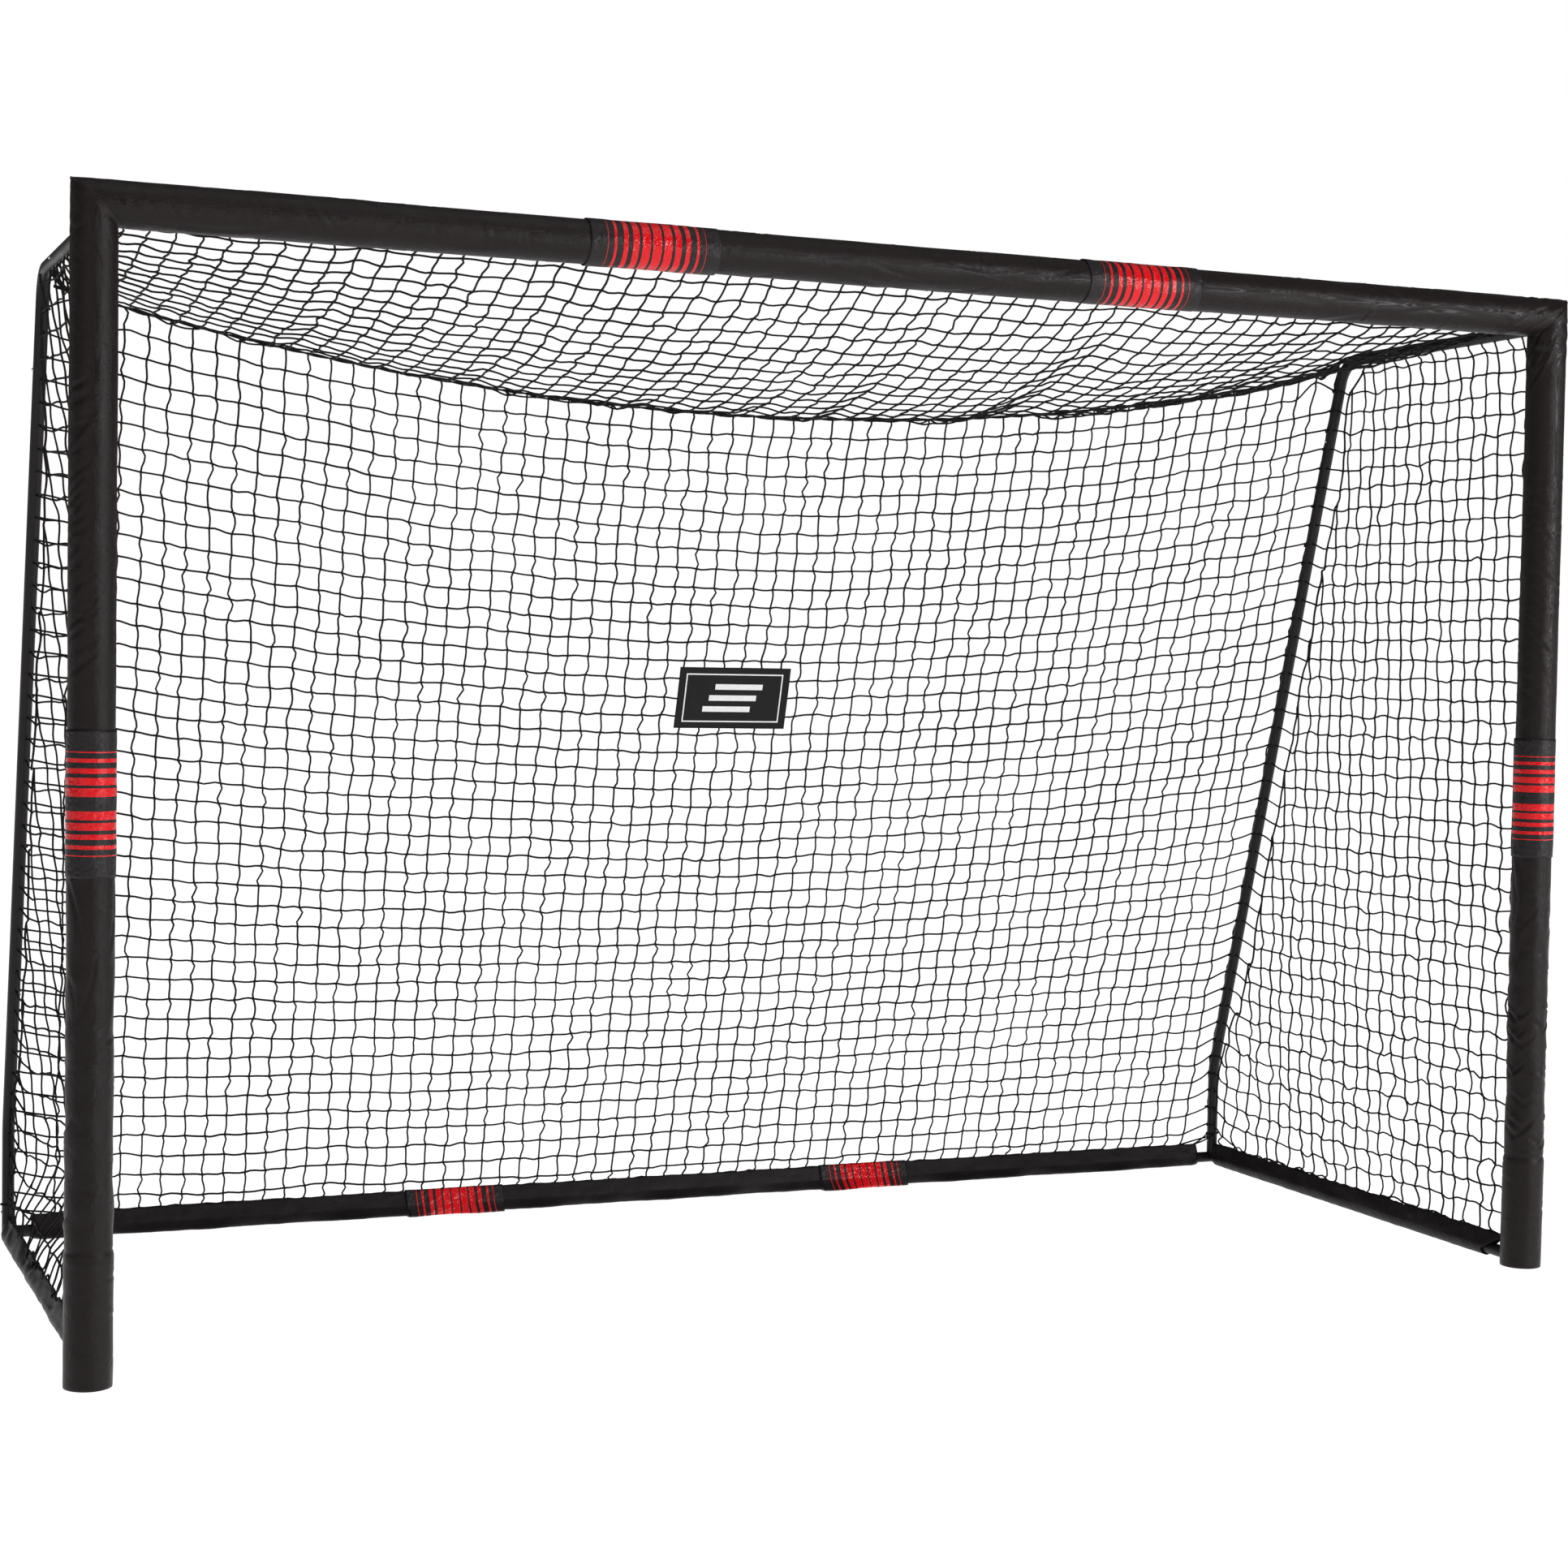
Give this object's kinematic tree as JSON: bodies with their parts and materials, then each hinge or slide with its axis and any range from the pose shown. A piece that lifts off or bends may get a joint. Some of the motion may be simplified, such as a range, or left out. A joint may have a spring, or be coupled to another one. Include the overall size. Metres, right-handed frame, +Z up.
{
  "type": "soccer goal frame",
  "caption": "Knock-down soccer goal with a padded steel front frame, bare steel rear frame, ground bars in fabric sleeves, a square-mesh net and plain striped bands.",
  "frame": {"origin": "on the floor, below the middle of the goal's box", "axes": "+X along the crossbar, -Y out of the goal's mouth, +Z up"},
  "size_m": [3.003, 1.2595, 2.0015],
  "materials": {
    "black_steel": "satin",
    "pad_cover": "satin",
    "foam": "matte",
    "striped_band": "satin",
    "bar_sleeve": "matte",
    "net": "matte",
    "black_plastic": "matte",
    "button_steel": "satin"
  },
  "bodies": {
    "frame": {"corner_connector_left": "black_steel", "corner_connector_right": "black_steel", "crossbar_band_left": "striped_band", "crossbar_band_right": "striped_band", "crossbar_cover_left": "pad_cover", "crossbar_cover_middle": "pad_cover", "crossbar_cover_right": "pad_cover", "crossbar_foam": "foam", "crossbar_tube_left": "black_steel", "crossbar_tube_middle": "black_steel", "crossbar_tube_right": "black_steel", "ground_band_left": "striped_band", "ground_band_right": "striped_band", "ground_corner_left": "black_steel", "ground_corner_right": "black_steel", "net_back": "net", "net_head_cord": "net", "net_left": "net", "net_patch": "bar_sleeve", "net_right": "net", "net_top": "net", "post_band_left": "striped_band", "post_band_right": "striped_band", "post_cover_lower_left": "pad_cover", "post_cover_lower_right": "pad_cover", "post_cover_upper_left": "pad_cover", "post_cover_upper_right": "pad_cover", "post_foam_left": "foam", "post_foam_right": "foam", "post_foot_plugs": "black_plastic", "post_lower_tube_left": "black_steel", "post_lower_tube_right": "black_steel", "post_upper_tube_left": "black_steel", "post_upper_tube_right": "black_steel", "rear_elbow_left": "black_steel", "rear_elbow_right": "black_steel", "rear_ground_sleeve": "bar_sleeve", "rear_ground_tube_left": "black_steel", "rear_ground_tube_middle": "black_steel", "rear_ground_tube_right": "black_steel", "rear_stay_left": "black_steel", "rear_stay_right": "black_steel", "side_ground_sleeve_left": "bar_sleeve", "side_ground_sleeve_right": "bar_sleeve", "side_ground_tube_left": "black_steel", "side_ground_tube_right": "black_steel", "side_top_bar_left": "black_steel", "side_top_bar_right": "black_steel", "snap_springs": "button_steel"},
    "snap_button_top_left": {"snap_button_top_left": "button_steel"},
    "snap_button_stay_left": {"snap_button_stay_left": "button_steel"},
    "snap_button_leg_left": {"snap_button_leg_left": "button_steel"},
    "snap_button_top_right": {"snap_button_top_right": "button_steel"},
    "snap_button_stay_right": {"snap_button_stay_right": "button_steel"},
    "snap_button_leg_right": {"snap_button_leg_right": "button_steel"}
  },
  "joints": [
    {"name": "press_top_left", "type": "slide", "parent": "frame", "child": "snap_button_top_left", "axis": [1, 0, 0], "range_m": [0, 0.0042], "stiffness_N_per_m": 600, "springref_m": -0.005, "deforming": ["snap_springs"]},
    {"name": "press_stay_left", "type": "slide", "parent": "frame", "child": "snap_button_stay_left", "axis": [1, 0, 0], "range_m": [0, 0.0042], "stiffness_N_per_m": 600, "springref_m": -0.005, "deforming": ["snap_springs"]},
    {"name": "press_leg_left", "type": "slide", "parent": "frame", "child": "snap_button_leg_left", "axis": [1, 0, 0], "range_m": [0, 0.0042], "stiffness_N_per_m": 600, "springref_m": -0.005, "deforming": ["snap_springs"]},
    {"name": "press_top_right", "type": "slide", "parent": "frame", "child": "snap_button_top_right", "axis": [1, 0, 0], "range_m": [0, 0.0042], "stiffness_N_per_m": 600, "springref_m": -0.005, "deforming": ["snap_springs"]},
    {"name": "press_stay_right", "type": "slide", "parent": "frame", "child": "snap_button_stay_right", "axis": [1, 0, 0], "range_m": [0, 0.0042], "stiffness_N_per_m": 600, "springref_m": -0.005, "deforming": ["snap_springs"]},
    {"name": "press_leg_right", "type": "slide", "parent": "frame", "child": "snap_button_leg_right", "axis": [1, 0, 0], "range_m": [0, 0.0042], "stiffness_N_per_m": 600, "springref_m": -0.005, "deforming": ["snap_springs"]}
  ]
}
